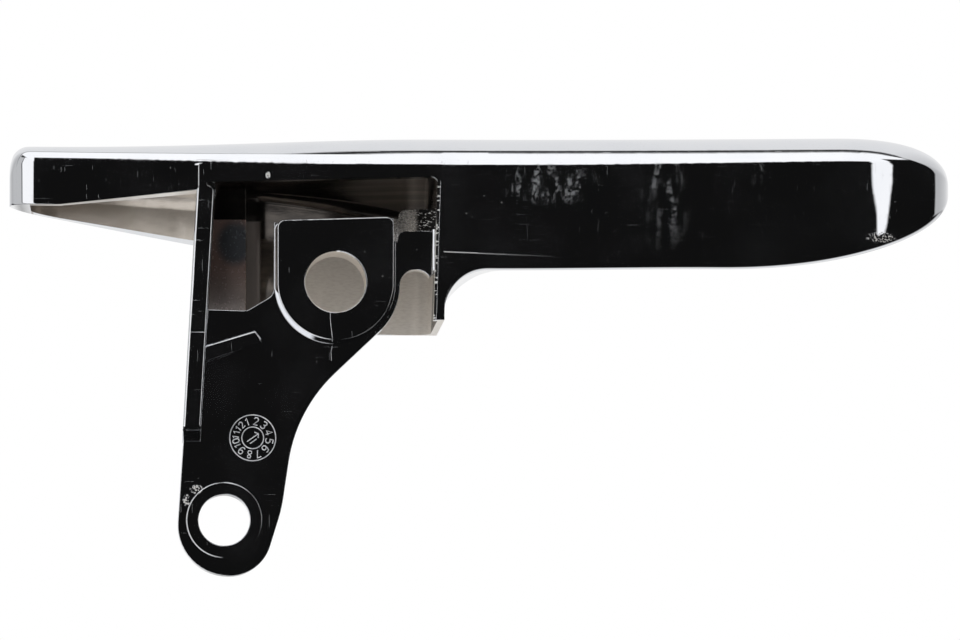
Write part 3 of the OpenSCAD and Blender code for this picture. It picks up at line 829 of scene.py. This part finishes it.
def pocket_finish():
    f = Finish("bracket_nickel_painted_light_shade")
    # The warm tone is the pocket's bare nickel. The near-white, less metallic side right of x = -6.2 and
    # below z = 7.2 is painted light. The banded near-black elsewhere is painted shade and painted
    # reflection.
    painted_lit_side = f.times(f.step(f.x, -7.6, -6.2), f.step(f.z, 9.0, 7.2))
    painted_reflection_bands = f.noise((0.03, 0.9, 0.9), 3.0)
    grain = f.noise((1.4, 1.4, 5.0), 4.0)
    dark = f.mixed(f.step(painted_reflection_bands, 0.35, 0.7), (0.07, 0.064, 0.06), (0.12, 0.107, 0.097))
    bright = f.mixed(f.step(grain, 0.3, 0.75), (0.99, 0.93, 0.85), (0.88, 0.815, 0.74))
    colour = f.mixed(painted_lit_side, dark, bright)
    # Darker and less metallic beside the pad.
    beside_pad = f.times(f.step(f.x, -13.2, -13.0), f.step(f.x, -9.3, -9.8), f.step(f.z, 9.6, 9.3))
    colour = f.mixed(beside_pad, colour, (0.30, 0.262, 0.24))
    rough = f.plus(f.times(painted_lit_side, 0.22), f.times(grain, 0.08), 0.10)
    f.add_height(grain, 0.004)
    less = f.plus(f.times(painted_lit_side, 0.8), f.times(beside_pad, 0.4))
    metal = f.math("SUBTRACT", 0.95, less)
    return f.done(colour, rough, metal)


def pad_finish():
    f = Finish("pad_painted_reflection")
    # The dark blue disc is a painted reflection of the camera. The warm grey, redder towards the bottom, is
    # a painted reflection too.
    painted_camera_reflection = f.blob(-12.9, 6.4, 3.0, 3.6)
    grain = f.noise((2.5, 2.5, 2.5), 5.0)
    low = f.step(f.z, 4.5, -3.0)
    painted_warm_reflection = f.mixed(low, (0.40, 0.27, 0.235), (0.46, 0.41, 0.385))
    colour = f.mixed(f.times(f.step(grain, 0.35, 0.7), 0.5), painted_warm_reflection, (0.24, 0.19, 0.175))
    colour = f.mixed(painted_camera_reflection, colour, (0.115, 0.125, 0.14))
    rough = f.plus(f.times(grain, 0.12), 0.2)
    f.add_height(grain, 0.004)
    return f.done(colour, rough, f.math("SUBTRACT", 0.55, f.times(grain, 0.1)))


def shoulder_painted_light_finish():
    f = Finish("shoulder_painted_highlight_shade", 0.05)
    grain = f.noise((3.0, 3.0, 3.0), 5.0)
    streaks = f.noise((0.8, 1.5, 7.0), 4.0)
    # Near-white left of x = 11 is a painted highlight. Near-black to the right, picked by the shade mask,
    # is a painted dark reflection.
    shade = f.step(f.plus(f.x, f.times(grain, 0.8)), 10.6, 11.4)
    specks = f.step(f.noise((2.6, 4.0, 5.0), 4.0), 0.60, 0.64)
    colour = f.mixed(shade, (0.97, 0.93, 0.88), (0.03, 0.029, 0.028))
    colour = f.mixed(f.times(shade, specks), colour, (0.9, 0.89, 0.87))
    rough = f.plus(f.times(streaks, 0.3), 0.1)
    f.add_height(streaks, 0.05)
    f.add_height(grain, 0.02)
    metal = f.math("SUBTRACT", 1.0, f.plus(f.times(shade, specks, 0.7), f.times(grain, 0.15)))
    return f.done(colour, rough, metal)


def edge_finish():
    f = Finish("mouth_edge_painted_highlight", 0.05)
    hatch = f.noise((0.7, 0.7, 3.2), 3.0, 28)
    # Near-black with white hatching: a painted dark reflection with a painted highlight of the chamfer.
    white = f.step(hatch, 0.56, 0.62)
    colour = f.mixed(white, (0.03, 0.03, 0.031), (0.88, 0.88, 0.87))
    rough = f.plus(f.times(hatch, 0.3), 0.1)
    f.add_height(hatch, 0.02)
    return f.done(colour, rough, f.math("SUBTRACT", 1.0, f.times(white, 0.6)))


lever.data.materials.clear()
for finish in (outside_finish, cover_finish, pocket_finish, pad_finish, shoulder_painted_light_finish, edge_finish):
    lever.data.materials.append(finish())
for p in lever.data.polygons:
    p.material_index = finish_of(p.center, p.normal)

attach(lever, "root")
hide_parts("handle_lever")

# Raised fine lines: the mould's date dial and the weld line under the bore
STROKES = {
    "0": [(0, 0.2), (0, 0.8), (0.15, 1), (0.45, 1), (0.6, 0.8), (0.6, 0.2), (0.45, 0), (0.15, 0), (0, 0.2)],
    "1": [(0.1, 0.75), (0.35, 1), (0.35, 0)],
    "2": [(0, 0.8), (0.15, 1), (0.45, 1), (0.6, 0.8), (0.58, 0.62), (0, 0), (0.6, 0)],
    "3": [(0, 0.88), (0.15, 1), (0.45, 1), (0.6, 0.8), (0.5, 0.57), (0.25, 0.52),
          (0.5, 0.47), (0.6, 0.22), (0.45, 0), (0.15, 0), (0, 0.12)],
    "4": [(0.45, 0), (0.45, 1), (0, 0.3), (0.62, 0.3)],
    "5": [(0.55, 1), (0.06, 1), (0.02, 0.55), (0.35, 0.62), (0.6, 0.42),
          (0.57, 0.12), (0.35, 0), (0.1, 0), (0, 0.1)],
    "6": [(0.55, 0.92), (0.35, 1), (0.12, 0.9), (0, 0.6), (0, 0.22), (0.15, 0),
          (0.45, 0), (0.6, 0.22), (0.52, 0.48), (0.3, 0.56), (0.05, 0.42)],
    "7": [(0, 1), (0.6, 1), (0.22, 0)],
    "8": [(0.3, 0.53), (0.08, 0.7), (0.12, 0.95), (0.3, 1), (0.48, 0.95), (0.52, 0.7), (0.3, 0.53),
          (0.03, 0.32), (0.08, 0.06), (0.3, 0), (0.52, 0.06), (0.57, 0.32), (0.3, 0.53)],
}
STROKES["9"] = [(0.6 - u, 1 - v) for u, v in STROKES["6"]]


def raised_lines(name, lines, radius, y):
    data = bpy.data.curves.new(name, "CURVE")
    data.dimensions = "3D"
    data.bevel_depth = radius * MM
    data.bevel_resolution = 2
    data.use_fill_caps = True
    for points in lines:
        closed = len(points) > 2 and points[0] == points[-1]
        spline = data.splines.new("POLY")
        points = points[:-1] if closed else points
        spline.points.add(len(points) - 1)
        for point, p in zip(spline.points, points):
            point.co = (p[0] * MM, (p[2] if len(p) > 2 else y) * MM, p[1] * MM, 1)
        spline.use_cyclic_u = closed
    drawn = bpy.data.objects.new(name + "_curve", data)
    bpy.context.scene.collection.objects.link(drawn)
    graph = bpy.context.evaluated_depsgraph_get()
    mesh = bpy.data.meshes.new_from_object(drawn.evaluated_get(graph))
    bpy.data.objects.remove(drawn)
    bpy.data.curves.remove(data)
    obj = bpy.data.objects.new(name, mesh)
    bpy.context.scene.collection.objects.link(obj)
    for p in mesh.polygons:
        p.use_smooth = True
    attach(obj, "root")
    return obj


DIAL_X, DIAL_Z, DIAL_R, DIAL_INNER_R, DIAL_START = -10.7, -20.25, 3.0, 1.42, 109
NUMBER_R, NUMBER_HEIGHT = 2.2, 0.95


def dial_lines(cx, cz, r_number, height):
    lines = []
    for k in range(12):
        angle = DIAL_START - 30 * k
        out_x, out_z = cos(angle), sin(angle)
        number = str(k + 1)
        for i, digit in enumerate(number):
            shift = (i - (len(number) - 1) / 2) * 0.78
            scale = height * (1.0 if len(number) == 1 else 0.86)
            lines.append([
                (cx + out_x * (r_number + (v - 0.5) * scale) + out_z * (u - 0.3 + shift) * scale,
                 cz + out_z * (r_number + (v - 0.5) * scale) - out_x * (u - 0.3 + shift) * scale)
                for u, v in STROKES[digit]
            ])
    return lines


LINE_Y = PLATE_Y - 0.01
numbers = dial_lines(DIAL_X, DIAL_Z, NUMBER_R, NUMBER_HEIGHT)
digits = raised_lines("date_dial_numbers", numbers, 0.075, LINE_Y)
ring_line = circle(DIAL_X, DIAL_Z, DIAL_R, 72)
inner_line = circle(DIAL_X, DIAL_Z, DIAL_INNER_R, 48)
arrow = [
    [(DIAL_X - 0.75, DIAL_Z - 0.5), (DIAL_X + 0.75, DIAL_Z + 0.55)],
    [(DIAL_X + 0.2, DIAL_Z + 0.75), (DIAL_X + 0.75, DIAL_Z + 0.55), (DIAL_X + 0.7, DIAL_Z - 0.02)],
    [(DIAL_X - 0.35, DIAL_Z - 0.75), (DIAL_X + 0.5, DIAL_Z - 0.15)],
]
rings = [ring_line + ring_line[:1], inner_line + inner_line[:1]]
dial = raised_lines("date_dial", rings + arrow, 0.07, LINE_Y)
FACE_Y = -BORE_LENGTH / 2
weld = raised_lines("weld_line", [
    [(-0.70, -4.0, FACE_Y), (-0.66, -5.2, FACE_Y), (-0.5, -6.6, FACE_Y), (-0.40, -7.45, FACE_Y)],
    [(-0.36, -8.2, PLATE_Y), (-0.5, -9.0, PLATE_Y), (-0.45, -10.1, PLATE_Y)],
], 0.035, PLATE_Y)


def line_finish():
    f = Finish("worn_lines", 0.02)
    wear = f.noise((1.2, 1.2, 1.2), 3.0)
    colour = f.mixed(f.step(wear, 0.35, 0.65), (0.86, 0.87, 0.89), (0.62, 0.63, 0.66))
    f.add_height(f.noise((9, 9, 9), 2.0), 0.004)
    return f.done(colour, f.plus(f.times(wear, 0.3), 0.25), f.math("SUBTRACT", 0.75, f.times(wear, 0.4)))


lines_material = line_finish()
for obj in (digits, dial, weld):
    obj.data.materials.clear()
    obj.data.materials.append(lines_material)

# Floor
FLOOR_AT, FLOOR_SIZE, FLOOR_GREY = (0.02, 0.0, -0.13), 1.5, 0.8
floor_mesh = bpy.data.meshes.new("floor")
bm = bmesh.new()
bmesh.ops.create_grid(bm, x_segments=2, y_segments=2, size=FLOOR_SIZE)
bm.to_mesh(floor_mesh)
bm.free()
floor = bpy.data.objects.new("floor", floor_mesh)
floor.location = FLOOR_AT
bpy.context.scene.collection.objects.link(floor)
pale = bpy.data.materials.new("pale_floor")
pale.use_nodes = True
pale_shader = pale.node_tree.nodes["Principled BSDF"]
pale_shader.inputs["Base Color"].default_value = (FLOOR_GREY, FLOOR_GREY, FLOOR_GREY, 1)
pale_shader.inputs["Roughness"].default_value = 0.9
floor_mesh.materials.append(pale)
floor.visible_glossy = False

# Surroundings: a dark room round the camera, with softboxes above and at both sides and a pale room behind.
# Angles are in degrees: to the side from straight ahead of the lever, and up from the horizon.
TOP_BOX_X, TOP_BOX_Y, TOP_BOX_LIGHT = (-0.9, 1.5), (-0.37, 7.4), 1.2
TOP_GAP_Y = (-0.47, -0.37)
RIGHT_STRIP, RIGHT_LIGHT, RIGHT_TOP = (28, 50), 1.15, 60
LEFT_STRIP, LEFT_LIGHT, LEFT_TOP = (-57, -7), 1.15, 38
LEFT_WALL, LEFT_WALL_LIGHT = (-115, -61), 0.6
RIGHT_SHADE, RIGHT_SHADE_TOP = (52, 113), 50
BEHIND_LIGHT, BEHIND_SIDE_LOSS, LOW_BACK_FROM, ROOM_LIGHT = 0.87, 0.34, 0.66, 0.006
world = bpy.data.worlds.new("studio")
bpy.context.scene.world = world
world.use_nodes = True
wt = world.node_tree
wt.nodes.clear()
math_node = maths(wt)
coord = wt.nodes.new("ShaderNodeTexCoord")
split = wt.nodes.new("ShaderNodeSeparateXYZ")
wt.links.new(coord.outputs["Generated"], split.inputs[0])
dx, dy, dz = split.outputs
front = math_node("MULTIPLY", dy, -1)
side = math_node("MULTIPLY", math_node("ARCTAN2", dx, front), 180 / math.pi)
rise = math_node("MULTIPLY", math_node("ARCSINE", dz), 180 / math.pi)


def between(value, low, high, soft=2.0):
    up_step = math_node("MULTIPLY", math_node("SUBTRACT", value, low), 1 / soft)
    down_step = math_node("MULTIPLY", math_node("SUBTRACT", high, value), 1 / soft)
    return math_node("MULTIPLY", math_node("ADD", up_step, 0.5, clamp=True),
                     math_node("ADD", down_step, 0.5, clamp=True))


def times(a, b):
    return math_node("MULTIPLY", a, b)


def minus(a, b):
    return math_node("SUBTRACT", a, b)


# A slight waviness of the right strip's edges
wave = wt.nodes.new("ShaderNodeTexNoise")
wave.inputs["Scale"].default_value = 7.0
wave.inputs["Detail"].default_value = 1.0
wt.links.new(coord.outputs["Generated"], wave.inputs["Vector"])
wavy = math_node("ADD", side, times(minus(wave.outputs[0], 0.5), 5.0))

# The softbox overhead is a rectangle in the plane z = 1, from far in front of the lever to just behind it
above = math_node("MAXIMUM", dz, 0.001)
box_x = math_node("DIVIDE", dx, above)
box_y = math_node("DIVIDE", front, above)
overhead = between(dz, 0.0, 2, 0.01)
top_box = times(times(between(box_x, *TOP_BOX_X, 0.15), between(box_y, *TOP_BOX_Y, 0.06)), overhead)
# Its front edge is hidden lower or higher by what stands before it, left and right of the camera
hidden = math_node("MINIMUM", minus(38.6, times(side, 22)), 43)
right_end = math_node("MINIMUM", times(minus(side, 2.6), 8), 26)
hidden = math_node("MAXIMUM", math_node("MAXIMUM", hidden, right_end), 0)
clear = minus(1, times(between(side, -5, 120, 1), between(rise, -90, hidden, 3)))
top_box = times(times(top_box, clear), TOP_BOX_LIGHT)
# The right strip narrows towards the floor
narrower = math_node("MAXIMUM", times(minus(6, rise), 0.55), 0)
right_low, right_high = RIGHT_STRIP
right_strip = between(wavy, math_node("ADD", narrower, right_low), minus(right_high, narrower), 2.5)
right_strip = times(right_strip, between(rise, -90, RIGHT_TOP, 4))
left_strip = times(between(side, *LEFT_STRIP, 2.0), between(rise, -90, LEFT_TOP, 5))
left_wall = times(times(between(side, *LEFT_WALL, 2.0), LEFT_WALL_LIGHT), between(rise, -90, LEFT_TOP, 5))
# The room behind is darker at its sides
across = math_node("ABSOLUTE", dx)
off_side = minus(BEHIND_LIGHT, times(between(across, 0.6, 2, 0.5), BEHIND_SIDE_LOSS))
behind = times(times(between(dy, 0.1, 2, 0.1), off_side), between(dz, -0.05, 2, 0.1))
low_back = times(between(dy, LOW_BACK_FROM, 2, 0.12), times(between(dz, -2, -0.05, 0.1), off_side))
shade = times(between(side, *RIGHT_SHADE, 3), between(rise, -90, RIGHT_SHADE_TOP, 5))
light = top_box
for other in (times(left_strip, LEFT_LIGHT), times(right_strip, RIGHT_LIGHT), left_wall, behind, low_back):
    light = math_node("MAXIMUM", light, other)
light = times(light, minus(1, shade))
gap = times(between(box_y, *TOP_GAP_Y, 0.05), overhead)
light = times(light, minus(1, times(gap, 0.95)))
light = math_node("MAXIMUM", light, ROOM_LIGHT)
# The camera sees white, and the lever sees the studio
background = wt.nodes.new("ShaderNodeBackground")
wt.links.new(light, background.inputs["Strength"])
background.inputs["Color"].default_value = (1.0, 1.0, 1.0, 1)
white = wt.nodes.new("ShaderNodeBackground")
white.inputs["Strength"].default_value = 1.0
white.inputs["Color"].default_value = (1.0, 1.0, 1.0, 1)
path = wt.nodes.new("ShaderNodeLightPath")
both = wt.nodes.new("ShaderNodeMixShader")
wt.links.new(path.outputs["Is Camera Ray"], both.inputs[0])
wt.links.new(background.outputs[0], both.inputs[1])
wt.links.new(white.outputs[0], both.inputs[2])
out = wt.nodes.new("ShaderNodeOutputWorld")
wt.links.new(both.outputs[0], out.inputs[0])

# Camera
SENSOR_WIDTH, FOCAL_LENGTH, CLIP = 36, 260.8, (0.05, 20)
eye_at = Vector((-0.0239, -0.907, -0.0801))
target = Vector((0.0187, -0.007, -0.0052))
scene = bpy.context.scene
scene.view_settings.view_transform = "Standard"
cam = bpy.data.cameras.new("camera")
cam.sensor_width = SENSOR_WIDTH
cam.lens = FOCAL_LENGTH
cam.clip_start, cam.clip_end = CLIP
camera = bpy.data.objects.new("camera", cam)
camera.location = eye_at
camera.rotation_euler = (target - eye_at).to_track_quat("-Z", "Y").to_euler()
scene.collection.objects.link(camera)
scene.camera = camera
